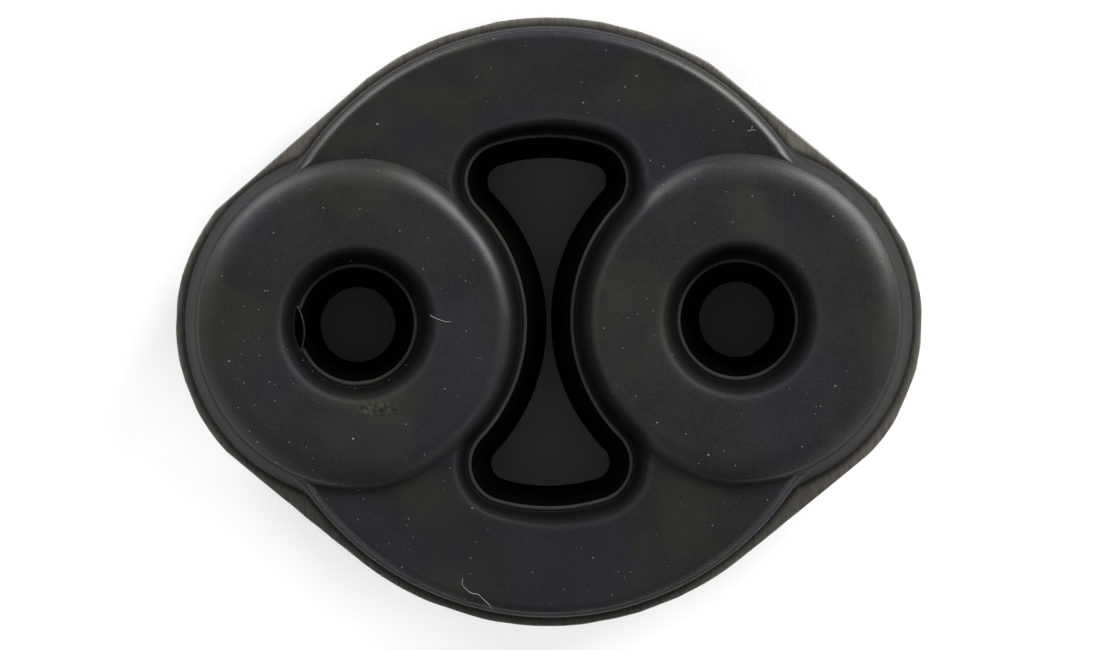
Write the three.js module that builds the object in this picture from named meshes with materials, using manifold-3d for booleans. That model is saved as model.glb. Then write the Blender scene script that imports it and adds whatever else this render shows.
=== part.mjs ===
// Exhaust hanger: one moulding in black rubber, lying flat on its rear bosses.
// X runs through the two rod bores, Y along the hourglass slot between them, and Z through the thickness.
// The origin is at the centre of the footprint, on the plane that the rear bosses rest on. Units are millimetres.
import * as THREE from "three";
import { mergeVertices } from "three/addons/utils/BufferGeometryUtils.js";
import Module from "manifold-3d";

// Overall form
const BORE_PITCH = 47; // centre to centre of the two rod bores
const BODY_THICKNESS = 26; // between the flat faces of the body
const BOSS_RISE = 2; // height of each boss above the body's face

// Body: a thick disc with a slightly drafted wall
const BODY_RADIUS = 36.6; // at the top of the wall
const BODY_DRAFT = 0.4; // how much wider the wall is at the parting plane
const BODY_SHOULDER = 1.1; // rounding between the wall and the face

// Bosses: a raised ring round each bore
const BOSS_TO_SLOT = 0.35; // from a boss's edge to the slot's mouth
const BOSS_DRAFT = 1.5; // how much wider the boss's wall is at the parting plane
const BOSS_SHOULDER = 3.6; // width of the rounding at the boss's outer edge
const BOSS_EDGE_STEP = 0.12; // from the top of the wall to the start of the rounding
const CORNER_FILLET = 6.25; // hollow corner between body and boss, seen from above

// Parting line: a thin web of flash left all round
const FLASH_MARGIN = 1.1; // how far the web stands out from the foot of the wall
const FLASH_THICKNESS = 1;

// Openings: all go right through, and narrow from both mouths to a neck at the parting plane
const BORE_NECK_RADIUS = 4.7; // grips a 10 mm rod
const HOLE_TAPER = 2.3; // how much wider a mouth is than its neck, on each side
const NECK_RIM_WIDTH = 0.25; // thin rim of flash inside each neck
const NECK_RIM_THICKNESS = 0.6;
const LEDGE_WIDTH = 0.75; // narrow flat ledge round each mouth
const LEDGE_DEPTH = 2.5; // the ledges' depth below the body's face
const BORE_FUNNEL = 3.3; // width of the rounding from the crest of the boss down to the ledge

// Slot: an hourglass between the bosses, measured at its mouth
const SLOT_LENGTH = 45.6;
const SLOT_WAIST = 0.56; // gap at the waist of the neck
const SLOT_CORNER = 4.4;
const SLOT_FUNNEL_ON_BODY = 2.6; // width of the rounding from the body's face down to the ledge
const SLOT_FUNNEL_ON_BOSS = 3.3; // the same from the crest of a boss

// Sizes that follow from those above
const BORE_X = BORE_PITCH / 2;
const BODY_Z = BODY_THICKNESS / 2; // height of the body's face above the parting plane
const CREST_Z = BODY_Z + BOSS_RISE; // height of a boss's crest above the parting plane
const LEDGE_Z = BODY_Z - LEDGE_DEPTH;
const SLOT_SIDE_RADIUS = BORE_X - SLOT_WAIST / 2 - HOLE_TAPER; // the sides are arcs about the bores
const SLOT_END_RADIUS = SLOT_LENGTH / 2; // the ends are arcs about the centre
const BOSS_RADIUS = SLOT_SIDE_RADIUS - BOSS_TO_SLOT;
const BORE_MOUTH_RADIUS = BORE_NECK_RADIUS + HOLE_TAPER;
const BORE_FUNNEL_RADIUS = BORE_MOUTH_RADIUS + LEDGE_WIDTH + BORE_FUNNEL;
const CLEAR_OF_FACE = 1; // how far a cutting tool runs past the crest

// How finely each curve is drawn
const ROUND_SEGMENTS = 48;
const BOSS_ARC_SEGMENTS = 20;
const BODY_ARC_SEGMENTS = 18;
const FILLET_SEGMENTS = 5;
const SLOT_SIDE_SEGMENTS = 14;
const SLOT_CORNER_SEGMENTS = 6;
const SLOT_END_SEGMENTS = 5;
const ROUNDING_STEPS = 4;

const wasm = await Module();
wasm.setup();

// Adds the points of an arc to an outline, without its last point, where the next arc begins.
function addArc(outline, x, y, radius, from, to, segments) {
  for (let i = 0; i < segments; i++) {
    const angle = from + ((to - from) * i) / segments;
    outline.push(new THREE.Vector2(x + radius * Math.cos(angle), y + radius * Math.sin(angle)));
  }
}

// The point that lies at one distance from the centre and at another from the right-hand bore.
function crossing(fromCentre, fromBore) {
  const x = (fromCentre ** 2 - fromBore ** 2 + BORE_X ** 2) / (2 * BORE_X);
  return new THREE.Vector2(x, Math.sqrt(fromCentre ** 2 - x ** 2));
}

// Body disc and both bosses in one outline, with a hollow fillet in each of the four corners between them.
function hangerOutline(bodyRadius, bossRadius) {
  const fillet = crossing(bodyRadius + CORNER_FILLET, bossRadius + CORNER_FILLET);
  const onBoss = Math.atan2(fillet.y, fillet.x - BORE_X);
  const onBody = Math.atan2(fillet.y, fillet.x);
  const outline = [];
  for (const [side, turn] of [[1, 0], [-1, Math.PI]]) {
    const { x, y } = fillet.clone().multiplyScalar(side);
    addArc(outline, side * BORE_X, 0, bossRadius, turn - onBoss, turn + onBoss, BOSS_ARC_SEGMENTS);
    addArc(outline, x, y, CORNER_FILLET, turn + onBoss + Math.PI, turn + onBody + Math.PI, FILLET_SEGMENTS);
    addArc(outline, 0, 0, bodyRadius, turn + onBody, turn + Math.PI - onBody, BODY_ARC_SEGMENTS);
    addArc(outline, -x, y, CORNER_FILLET, turn - onBody, turn - onBoss, FILLET_SEGMENTS);
  }
  return outline;
}

// The web's outline: arcs about the body and both bosses, joined by straight tangents.
function flashOutline() {
  const bodyRadius = BODY_RADIUS + BODY_DRAFT + FLASH_MARGIN;
  const bossRadius = BOSS_RADIUS + BOSS_DRAFT + FLASH_MARGIN;
  const tangent = Math.acos((bodyRadius - bossRadius) / BORE_X);
  const outline = [];
  for (const [side, turn] of [[1, 0], [-1, Math.PI]]) {
    const last = new THREE.Vector2(bodyRadius, 0).rotateAround(new THREE.Vector2(), turn + Math.PI - tangent);
    addArc(outline, side * BORE_X, 0, bossRadius, turn - tangent, turn + tangent, BOSS_ARC_SEGMENTS);
    outline.push(new THREE.Vector2(BORE_X + bossRadius * Math.cos(tangent), bossRadius * Math.sin(tangent))
      .multiplyScalar(side));
    addArc(outline, 0, 0, bodyRadius, turn + tangent, turn + Math.PI - tangent, BODY_ARC_SEGMENTS);
    outline.push(last);
  }
  return outline;
}

// The slot's outline, grown by an offset from its mouth.
function slotOutline(offset) {
  const corner = crossing(SLOT_END_RADIUS - SLOT_CORNER, SLOT_SIDE_RADIUS + SLOT_CORNER);
  const onEnd = Math.atan2(corner.y, corner.x);
  const onSide = Math.atan2(corner.y, corner.x - BORE_X);
  const rounding = SLOT_CORNER + offset;
  const outline = [];
  for (const [side, turn] of [[1, 0], [-1, Math.PI]]) {
    const { x, y } = corner.clone().multiplyScalar(side);
    addArc(outline, side * BORE_X, 0, SLOT_SIDE_RADIUS - offset, turn + 2 * Math.PI - onSide, turn + onSide,
      SLOT_SIDE_SEGMENTS);
    addArc(outline, x, y, rounding, turn + onSide - Math.PI, turn + onEnd, SLOT_CORNER_SEGMENTS);
    addArc(outline, 0, 0, SLOT_END_RADIUS + offset, turn + onEnd, turn + Math.PI - onEnd, SLOT_END_SEGMENTS);
    addArc(outline, -x, y, rounding, turn + Math.PI - onEnd, turn + 2 * Math.PI - onSide, SLOT_CORNER_SEGMENTS);
  }
  return outline;
}

// A closed solid through a stack of levels, each an outline at a height, with the same number of points in each.
function loft(levels) {
  const count = levels[0].outline.length;
  const positions = levels.flatMap(({ outline, z }) => outline.flatMap(({ x, y }) => [x, y, z]));
  const faces = [];
  for (let level = 0; level + 1 < levels.length; level++) {
    for (let i = 0; i < count; i++) {
      const a = level * count + i;
      const b = level * count + ((i + 1) % count);
      faces.push(a, b, b + count, a, b + count, a + count);
    }
  }
  const top = (levels.length - 1) * count;
  for (const [a, b, c] of THREE.ShapeUtils.triangulateShape(levels[0].outline, [])) faces.push(a, c, b);
  for (const [a, b, c] of THREE.ShapeUtils.triangulateShape(levels.at(-1).outline, [])) {
    faces.push(top + a, top + b, top + c);
  }
  const geometry = new THREE.BufferGeometry();
  geometry.setAttribute("position", new THREE.Float32BufferAttribute(positions, 3));
  geometry.setIndex(faces);
  return geometry;
}

// A profile of [radius, height] points turned about an axis that stands at x.
function revolve(profile, x) {
  const points = profile.map(([radius, z]) => new THREE.Vector2(radius, z));
  const turned = new THREE.LatheGeometry(points, ROUND_SEGMENTS);
  return turned.rotateX(Math.PI / 2).translate(x, 0, 0);
}

// A three.js geometry as a solid that can be joined and cut.
function solid(geometry) {
  geometry.deleteAttribute("normal");
  geometry.deleteAttribute("uv");
  const merged = mergeVertices(geometry, 1e-4);
  const vertProperties = merged.attributes.position.array;
  const triVerts = new Uint32Array(merged.index.array);
  return new wasm.Manifold(new wasm.Mesh({ numProp: 3, vertProperties, triVerts }));
}

// The upper half of a stack, mirrored below the parting plane, lowest level first.
function bothHalves(upper) {
  return [...upper.map((level) => ({ ...level, z: -level.z })).reverse(), ...upper];
}

// Steps round a quarter of an ellipse: across runs 0 to 1 along its width, up runs 0 to 1 along its height.
function roundingSteps() {
  return Array.from({ length: ROUNDING_STEPS + 1 }, (_, i) => {
    const angle = (Math.PI / 2) * (i / ROUNDING_STEPS);
    return { across: 1 - Math.cos(angle), up: Math.sin(angle) };
  });
}

// The walls of body and bosses from the parting plane up to the body's face, and the same below.
function bodyBlock() {
  const upper = [{ outline: hangerOutline(BODY_RADIUS + BODY_DRAFT, BOSS_RADIUS + BOSS_DRAFT), z: 0 }];
  for (const { across, up } of roundingSteps()) {
    const z = BODY_Z - BODY_SHOULDER * (1 - up);
    const bossDraft = BOSS_DRAFT * (1 - z / BODY_Z);
    upper.push({ outline: hangerOutline(BODY_RADIUS - BODY_SHOULDER * across, BOSS_RADIUS + bossDraft), z });
  }
  const lower = upper.slice(1).map(({ outline, z }) => ({ outline, z: -z }));
  return solid(loft([...lower.reverse(), ...upper]));
}

// One boss, through the full thickness: a flat crest that rolls over to its outer edge.
function boss(x) {
  const edge = BOSS_RADIUS - BOSS_EDGE_STEP;
  const roll = roundingSteps().map(({ across, up }) => [edge - BOSS_SHOULDER * across, BODY_Z + BOSS_RISE * up]);
  const rear = roll.map(([radius, z]) => [radius, -z]).reverse();
  return solid(revolve([[0, -CREST_Z], ...rear, ...roll, [0, CREST_Z]], x));
}

// The thin web of flash at the parting plane, with its straight trims across the hollow corners.
function flashWeb() {
  const shape = new THREE.Shape(flashOutline());
  const web = new THREE.ExtrudeGeometry(shape, { depth: FLASH_THICKNESS, bevelEnabled: false });
  return solid(web.translate(0, 0, -FLASH_THICKNESS / 2));
}

// The cutting tool for one bore: neck, taper, ledge, and a rounded funnel up to the crest.
function boreTool(x) {
  const ledgeEdge = BORE_MOUTH_RADIUS + LEDGE_WIDTH;
  const upper = [
    [BORE_NECK_RADIUS, NECK_RIM_THICKNESS / 2],
    [BORE_NECK_RADIUS + NECK_RIM_WIDTH, NECK_RIM_THICKNESS / 2],
    [BORE_MOUTH_RADIUS, LEDGE_Z],
    ...roundingSteps().map(({ across, up }) => [ledgeEdge + BORE_FUNNEL * across, LEDGE_Z + (CREST_Z - LEDGE_Z) * up]),
    [BORE_FUNNEL_RADIUS, CREST_Z + CLEAR_OF_FACE],
  ];
  const lower = upper.map(([radius, z]) => [radius, -z]).reverse();
  const end = CREST_Z + CLEAR_OF_FACE;
  return solid(revolve([[0, -end], ...lower, ...upper, [0, end]], x));
}

// The cutting tool for the slot: the same section as a bore's, with its funnel ending at a given face.
function slotTool(faceZ, funnelWidth) {
  const upper = [
    [-HOLE_TAPER, NECK_RIM_THICKNESS / 2],
    [NECK_RIM_WIDTH - HOLE_TAPER, NECK_RIM_THICKNESS / 2],
    [0, LEDGE_Z],
    ...roundingSteps().map(({ across, up }) => [LEDGE_WIDTH + funnelWidth * across, LEDGE_Z + (faceZ - LEDGE_Z) * up]),
    [LEDGE_WIDTH + funnelWidth, CREST_Z + CLEAR_OF_FACE],
  ];
  return solid(loft(bothHalves(upper.map(([offset, z]) => ({ outline: slotOutline(offset), z })))));
}

// The moulding: the body and the bosses are each cut by the slot with their own funnel, then joined and bored.
function hanger() {
  const slotInBody = slotTool(BODY_Z, SLOT_FUNNEL_ON_BODY);
  const slotInBoss = slotTool(CREST_Z, SLOT_FUNNEL_ON_BOSS);
  let moulding = bodyBlock().add(flashWeb()).subtract(slotInBody);
  for (const x of [-BORE_X, BORE_X]) moulding = moulding.add(boss(x).subtract(slotInBoss));
  for (const x of [-BORE_X, BORE_X]) moulding = moulding.subtract(boreTool(x));
  return moulding;
}

function geometryOf(shape) {
  const { vertProperties, triVerts } = shape.getMesh();
  const geometry = new THREE.BufferGeometry();
  geometry.setAttribute("position", new THREE.BufferAttribute(vertProperties, 3));
  geometry.setIndex(new THREE.BufferAttribute(triVerts, 1));
  geometry.computeVertexNormals();
  return geometry;
}

const rubber = new THREE.MeshStandardMaterial({ color: 0x2c2c2c, roughness: 0.6, metalness: 0 });
const body = new THREE.Mesh(geometryOf(hanger()), rubber);
body.name = "hanger_body";
body.position.z = CREST_Z;

const exhaustHanger = new THREE.Group();
exhaustHanger.name = "exhaust_hanger";
exhaustHanger.add(body);

export default exhaustHanger;
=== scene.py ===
"""Looks of an exhaust hanger: its moulding in fine detail, a torn lip, dust and fibres, and a plain pale stage.

The rubber is modelled about the parting plane and then raised, so that it lies on its rear bosses as in the frame.
"""
import math

import bmesh
import bpy
from mathutils import Matrix, Vector, noise
from mathutils.bvhtree import BVHTree


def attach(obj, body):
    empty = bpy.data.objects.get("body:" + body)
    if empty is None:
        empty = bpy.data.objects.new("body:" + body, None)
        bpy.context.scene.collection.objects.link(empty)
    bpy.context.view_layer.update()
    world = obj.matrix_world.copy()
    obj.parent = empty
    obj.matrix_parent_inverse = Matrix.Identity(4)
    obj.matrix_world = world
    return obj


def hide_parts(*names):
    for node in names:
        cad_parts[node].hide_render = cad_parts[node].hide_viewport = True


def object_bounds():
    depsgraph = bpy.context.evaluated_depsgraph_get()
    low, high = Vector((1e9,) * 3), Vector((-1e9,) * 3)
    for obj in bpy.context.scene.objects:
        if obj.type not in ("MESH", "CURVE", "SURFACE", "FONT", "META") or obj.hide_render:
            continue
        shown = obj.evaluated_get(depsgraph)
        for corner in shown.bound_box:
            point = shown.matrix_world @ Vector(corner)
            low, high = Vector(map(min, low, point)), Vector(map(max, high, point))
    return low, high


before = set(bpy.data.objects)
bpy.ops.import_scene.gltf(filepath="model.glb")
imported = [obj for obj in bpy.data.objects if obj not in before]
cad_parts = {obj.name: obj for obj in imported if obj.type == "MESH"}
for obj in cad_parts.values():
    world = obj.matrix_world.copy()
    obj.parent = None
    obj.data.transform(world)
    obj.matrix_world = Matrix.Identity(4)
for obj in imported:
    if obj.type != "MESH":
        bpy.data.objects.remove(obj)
# Without a seed of its own, noise_vector starts from the clock
noise.seed_set(1)

bl_info = {
    "name": "Exhaust Hanger",
    "version": (1, 0, 0),
    "blender": (4, 5, 0),
    "location": "View3D > Sidebar > Hanger",
    "description": "Models a moulded rubber exhaust hanger and sets it on a plain stage",
    "category": "Object",
}

CAD_LOW, CAD_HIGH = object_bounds()
MM = 0.001
UP = Vector((0, 0, 1))
FULL_TURN = 2 * math.pi

NODE = "hanger_body"
BODY = "root"

# Attributes of the moulding's mesh: how black with painted shade, how matt, and how pale with painted light on the
# ledges
SHADE = "shade"
MATT = "matt"
LIP = "lip"

# Millimetres taken off each crest, so that lint and dust on it stay inside the CAD model's box
LINT_ROOM = 0.07

# Steps of the arcs, straights and roundings
BODY_STEPS, BOSS_STEPS, CORNER_STEPS = 76, 46, 12
SLOT_SIDE_STEPS, SLOT_CORNER_STEPS, SLOT_END_STEPS = 30, 22, 16
WEB_BODY_STEPS, WEB_BOSS_STEPS, WEB_STRAIGHT_STEPS = 90, 60, 24
SHOULDER_STEPS, ROLL_STEPS, FUNNEL_STEPS, WALL_STEPS = 14, 18, 16, 7
TURNED_BOSS_STEPS, TURNED_BORE_STEPS = 256, 176

# Degrees from the line between the bores, seen from a bore: up to the first a boss rolls down to the slot's ledge,
# and past the second it rolls down to the body's face
BESIDE_SLOT, BESIDE_SLOT_ENDS = 42, 88

# How far cutting tools stand out past the crests, and how far a boss's foot is sunk into the body
CUT_PAST = 1 * MM
SUNK = 0.1 * MM

# Waves of the noise that bends outlines, in waves per metre
BROAD_WAVES, NICK_WAVES, FINE_WAVES = 90, 150, 420

# Shares of the knife's depth that come from its waver and from its nicks
WAVER, NICKS = 0.35, 0.9

# Where the web spills out, and how widely, in degrees round the hanger
SPILL_AT, SPILL_SPREAD = -26, 17

# Straight knife cuts along the web: direction in degrees, distance from the centre in millimetres
KNIFE_CUTS = (
    (11.7, 46.13), (32, 42.85), (50.1, 37.85), (75, 38), (104, 37.95), (130.4, 37.9), (163.3, 45.65), (188, 46.45),
    (201.3, 44.95), (229.6, 38.2), (290.2, 37.95), (308.7, 38.2), (334.3, 44.7), (347, 46.55), (357.5, 46.58),
)

# Lint fibres: the places in millimetres that each passes
FIBRES = (
    ((-14.6, 1.02), (-14.26, 0.75), (-13.8, 0.53), (-13.28, 0.34), (-12.87, 0.18), (-12.44, 0.15), (-12.1, 0.17)),
    ((-11.05, -31.7), (-11.21, -32.16), (-11.09, -32.66), (-10.66, -33.05), (-10.26, -33.4), (-9.81, -33.6),
     (-9.22, -33.63), (-8.73, -34.14), (-8.09, -34.74), (-7.69, -35.06), (-7.46, -35.5)),
    ((25.0, 23.3), (25.5, 23.55), (26.0, 23.4)),
    ((25.5, 23.55), (25.55, 24.0)),
)

# Grains of dust: place in millimetres, share of the largest grain's radius
GRAINS = (
    (-24.41, -14.19, 1), (13.24, -12.69, 0.9), (19.56, -16.77, 0.95), (11.31, 30.34, 0.85), (-39.65, -4.36, 0.9),
    (-36.3, -14.4, 0.6), (-32.3, -14.5, 0.6), (-30.2, -15.2, 0.5), (-23.85, -20.55, 0.7), (-17.7, -24.2, 0.6),
    (-18.6, -30.2, 0.6), (-30.56, -4.36, 0.45), (-29.41, -5.75, 0.4), (-27.97, -6.86, 0.35), (-24.13, -8.0, 0.35),
    (-19.85, -6.93, 0.4), (-17.72, -5.14, 0.45), (23.2, 24.55, 0.65), (25.4, 15.2, 0.6), (35.4, 12.6, 0.7),
    (22.9, -18.1, 0.6), (31.2, -15.9, 0.6), (-35.1, 4.3, 0.6), (-35.9, 2.0, 0.45), (-37.7, 2.4, 0.45),
    (-40.4, 0.5, 0.35), (-35.9, -1.65, 0.45), (-37.8, -1.85, 0.4), (-35.9, -3.7, 0.5), (-38.1, -3.5, 0.45),
    (-38.3, -4.85, 0.4), (-32.4, -3.0, 0.35), (-36.5, -9.85, 0.4), (-24.4, 7.95, 0.5), (-18.3, 11.5, 0.55),
    (-33.7, 8.1, 0.35), (-9.3, 7.8, 0.4), (-8.8, -4.4, 0.4), (-11.5, -9.0, 0.35), (-45.1, -1.85, 0.5),
)

# Reach of the painted shade round the holes from the ledges in millimetres, and how much it swings from side to side
BORE_SHADE_REACH, BORE_SHADE_SWING = 2.6, 0.5
SLOT_SHADE_REACH, SLOT_SHADE_SWING = 2.5, 0.6
SHADE_WIDEST_TOWARDS = math.radians(30)
SHADE_SWING_TURNS = 6 * MM

# How black, how matt and how pale each part of the moulding is, and how black the shade round the holes is:
# painted shade blackens the walls inside the holes and darkens the outer walls, painted light pales the ledges
IN_HOLE = (0.94, 1, 0)
ON_LEDGE = (0, 0.3, 1)
ON_WEB = (0, 0, 0)
ON_OUTER_WALL = (0.4, 0.5, 0)
MOUTH_SHADE = 0.81

# Dust in the bloom: cells per metre, a speck's radius in cells, share of the cells that stay clean
SPECKS = ((240, 0.05, 0.90), (620, 0.09, 0.87), (1300, 0.14, 0.82))

# The scuff below the left bore: its place and the radii where it fades out and is full, in millimetres
SCUFF_PLACE = (-21.3, -10.5)
SCUFF_REACH, SCUFF_CORE = 1.3, 0.5

# Softboxes: name, azimuth and elevation in degrees, share of the strongest one's power
SOFTBOXES = (
    ("softbox_top_right", 43, 28, 1), ("softbox_top_left", 130, 28, 0.5),
    ("softbox_low_left", 215, 30, 0.12), ("softbox_low_right", 318, 30, 0.08),
)
SOFTBOX_SIZE = (0.5, 0.4)
WASHER_AZIMUTHS = (185, 225, 265, 305, 345)
WASHER_ELEVATION = 25
WASHER_SIZE = (0.4, 0.3)
LIGHT_DISTANCE = 0.8


def length(name, description, millimetres):
    """A size that the sidebar shows in the scene's own unit of length."""
    return bpy.props.FloatProperty(
        name=name, description=description, default=millimetres * MM, unit="LENGTH", precision=5
    )


def share(name, description, default):
    """A number from nothing to one."""
    return bpy.props.FloatProperty(name=name, description=description, default=default, min=0, max=1, subtype="FACTOR")


def colour(name, description, default):
    """A colour without alpha."""
    return bpy.props.FloatVectorProperty(
        name=name, description=description, default=default, size=3, min=0, max=1, subtype="COLOR"
    )


def degrees(name, description, default):
    """An angle, written in degrees."""
    return bpy.props.FloatProperty(
        name=name, description=description, default=math.radians(default), subtype="ANGLE"
    )


class HangerForm(bpy.types.PropertyGroup):
    """Sizes of the moulding."""

    bore_pitch: length("Bore pitch", "Between the centres of the two bores", 47)
    crest: length(
        "Crest", "Height of a boss's crest above the parting plane", (CAD_HIGH.z - CAD_LOW.z) / 2 / MM - LINT_ROOM
    )
    boss_rise: length("Boss rise", "Height of a boss above the body's face", 2)
    body_radius: length("Body radius", "At the top of the body's wall", 36.6)
    body_draft: length("Body draft", "How much wider the body's wall is at the parting plane", 0.4)
    body_shoulder: length("Body shoulder", "Rounding between the body's wall and its face", 1.5)
    boss_radius: length("Boss radius", "At the top of the boss's wall", 20.57)
    boss_draft: length("Boss draft", "How much wider the boss's wall is at the parting plane", 1.5)
    boss_roll: length("Boss roll", "Width of the rounding from the boss's crest to its edge", 3.7)
    corner: length("Corner", "Hollow fillet between body and boss, seen from above", 6.25)
    bore_mouth: length("Bore mouth", "Radius of a bore at its ledge", 7)
    bore_funnel: length("Bore funnel", "Width of the rounding from the crest down to the ledge", 3.3)
    bore_drift: length("Bore drift", "How far the left bore's core pin stood off its place", 0.35)
    slot_end: length("Slot end", "From the centre to the slot's end, at its mouth", 22.8)
    slot_side: length("Slot side", "Radius of the slot's sides about the bores, at its mouth", 20.92)
    slot_corner: length("Slot corner", "Radius of the slot's corners, at its mouth", 4.4)
    slot_funnel_body: length("Slot funnel, body", "Width of the slot's rounding on the body's face", 2.6)
    slot_funnel_boss: length("Slot funnel, boss", "Width of the slot's rounding on a boss", 3.3)
    tightness: bpy.props.FloatProperty(
        name="Tightness", description="How late the funnels turn down, from 2 for a quarter ellipse", default=3, min=2
    )
    taper: length("Taper", "How much wider each mouth is than its neck", 2.3)
    ledge: length("Ledge", "Width of the narrow ledge round each mouth", 0.75)
    ledge_depth: length("Ledge depth", "Depth of the ledges below the body's face", 2.5)
    ledge_fall: length("Ledge fall", "How far a ledge dips towards its outer edge", 0.12)
    neck_rim: length("Neck rim", "How far the rim of flash stands into each neck", 0.25)
    neck_rim_height: length("Neck rim height", "Thickness of the rim of flash in each neck", 0.6)
    flash_margin: length("Flash margin", "How far the web stands out from the foot of the wall", 1.1)
    flash_height: length("Flash height", "Thickness of the web of flash", 1)
    flash_spill: length("Flash spill", "How much further the web spills out at the lower right boss", 0.5)
    trim_depth: length("Trim depth", "How much the knife wavers along the web's edge", 0.22)
    wobble: length("Wobble", "How far the moulding strays from its true outline", 0.07)


class HangerWear(bpy.types.PropertyGroup):
    """The torn lip, the fibres and the dust."""

    tear_from: degrees("Tear from", "Where the torn lip starts, round the left bore", 162)
    tear_to: degrees("Tear to", "Where the torn lip ends, round the left bore", 205)
    tear_bow: length("Tear bow", "How far the torn lip bows into the bore's mouth", 0.42)
    tear_thickness: length("Tear thickness", "Thickness of the torn lip", 0.25)
    fibre_radius: length("Fibre radius", "Radius of the lint fibres", 0.06)
    grain_radius: length("Grain radius", "Radius of the largest grains of dust", 0.16)


class HangerFinish(bpy.types.PropertyGroup):
    """Colours and gloss."""

    rubber: colour("Rubber", "The moulding's own black", (0.0085, 0.0085, 0.0085))
    # Painted shade: this near-black paints the deep shade on the walls inside the bores and slot and along the web's
    # foot; it also colours the scuff's pits
    clean: colour("Clean rubber", "The walls inside the bores and the slot, free of bloom", (0.001, 0.001, 0.001))
    warm: colour("Warm haze", "Olive blotches of mould bloom", (0.0165, 0.0160, 0.0100))
    cool: colour("Cool haze", "Bluish blotches of mould bloom", (0.0105, 0.0100, 0.0165))
    powder: colour("Powder", "Fine powder of bloom all over the rubber", (0.03, 0.03, 0.029))
    flash: colour("Flash", "The thin web at the parting plane", (0.160, 0.150, 0.128))
    dust: colour("Dust", "Fine specks in the bloom", (0.30, 0.30, 0.28))
    lint: colour("Lint", "Fibres and grains", (0.24, 0.24, 0.23))
    roughness: share("Roughness", "How matt the rubber is", 0.37)
    floor: colour("Floor", "The pale floor", (0.9, 0.9, 0.9))


class StageSettings(bpy.types.PropertyGroup):
    """Camera and light."""

    framed: length("Framed width", "Width that the picture takes in at the object", 136.9)
    aim_x: length("Aim X", "Where the camera points, along X", 0.16)
    aim_y: length("Aim Y", "Where the camera points, along Y", -0.39)
    roll: degrees("Roll", "The camera's turn about its line of sight", -0.76)
    lens: bpy.props.FloatProperty(
        name="Lens", description="Focal length", default=400, unit="CAMERA", precision=0
    )
    light: bpy.props.FloatProperty(
        name="Light", description="Power of the strongest softbox", default=7.5, unit="POWER"
    )
    wash: bpy.props.FloatProperty(
        name="Wash", description="Power of each lamp that lights the floor alone", default=2.2, unit="POWER"
    )
    room: share("Room light", "Even light from all round", 0.15)
    backdrop: share("Backdrop", "How bright the room looks beyond the floor", 0.9)


# Outlines


def sweep(bm, tip, centre, angle, steps):
    """Carries an outline on from its tip, round an arc about a centre, and returns the new tip."""
    turned = bmesh.ops.spin(
        bm, geom=[tip], cent=(centre[0], centre[1], tip.co.z), axis=UP, dvec=(0, 0, 0), angle=angle, steps=steps
    )
    return turned["geom_last"][0]


def run(bm, tip, target, steps):
    """Carries an outline on from its tip, straight to a target, and returns the new tip."""
    stride = (Vector((target[0], target[1], tip.co.z)) - tip.co) / steps
    for _ in range(steps):
        tip = bmesh.ops.extrude_vert_indiv(bm, verts=[tip])["verts"][0]
        tip.co += stride
    return tip


def close(bm, first, tip):
    """Joins an outline's tip to its first point."""
    bmesh.ops.weld_verts(bm, targetmap={tip: first})


def crossing(form, from_centre, from_bore):
    """The point at one distance from the centre and at another from the right-hand bore."""
    bore = form.bore_pitch / 2
    x = (from_centre**2 - from_bore**2 + bore**2) / (2 * bore)
    return Vector((x, math.sqrt(from_centre**2 - x**2)))


def hanger_ring(bm, form, body_radius, boss_radius, z):
    """Body disc and both bosses in one outline, with a hollow fillet in each corner between them."""
    bore = form.bore_pitch / 2
    fillet = crossing(form, body_radius + form.corner, boss_radius + form.corner)
    on_boss = math.atan2(fillet.y, fillet.x - bore)
    on_body = math.atan2(fillet.y, fillet.x)
    hollow = on_boss - on_body
    first = tip = bm.verts.new((bore + boss_radius, 0, z))
    for side in (1, -1):
        tip = sweep(bm, tip, (side * bore, 0), on_boss, BOSS_STEPS)
        tip = sweep(bm, tip, side * fillet, -hollow, CORNER_STEPS)
        tip = sweep(bm, tip, (0, 0), math.pi - 2 * on_body, BODY_STEPS)
        tip = sweep(bm, tip, (-side * fillet.x, side * fillet.y), -hollow, CORNER_STEPS)
        tip = sweep(bm, tip, (-side * bore, 0), on_boss, BOSS_STEPS)
    close(bm, first, tip)


def slot_ring(bm, form, offset, z):
    """The slot's hourglass, grown by an offset from its mouth."""
    bore = form.bore_pitch / 2
    corner = crossing(form, form.slot_end - form.slot_corner, form.slot_side + form.slot_corner)
    on_end = math.atan2(corner.y, corner.x)
    on_side = math.pi - math.atan2(corner.y, corner.x - bore)
    first = tip = bm.verts.new((bore - form.slot_side + offset, 0, z))
    for side in (1, -1):
        tip = sweep(bm, tip, (side * bore, 0), -on_side, SLOT_SIDE_STEPS)
        tip = sweep(bm, tip, side * corner, on_side + on_end, SLOT_CORNER_STEPS)
        tip = sweep(bm, tip, (0, 0), math.pi - 2 * on_end, SLOT_END_STEPS)
        tip = sweep(bm, tip, (-side * corner.x, side * corner.y), on_side + on_end, SLOT_CORNER_STEPS)
        tip = sweep(bm, tip, (-side * bore, 0), -on_side, SLOT_SIDE_STEPS)
    close(bm, first, tip)


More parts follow.
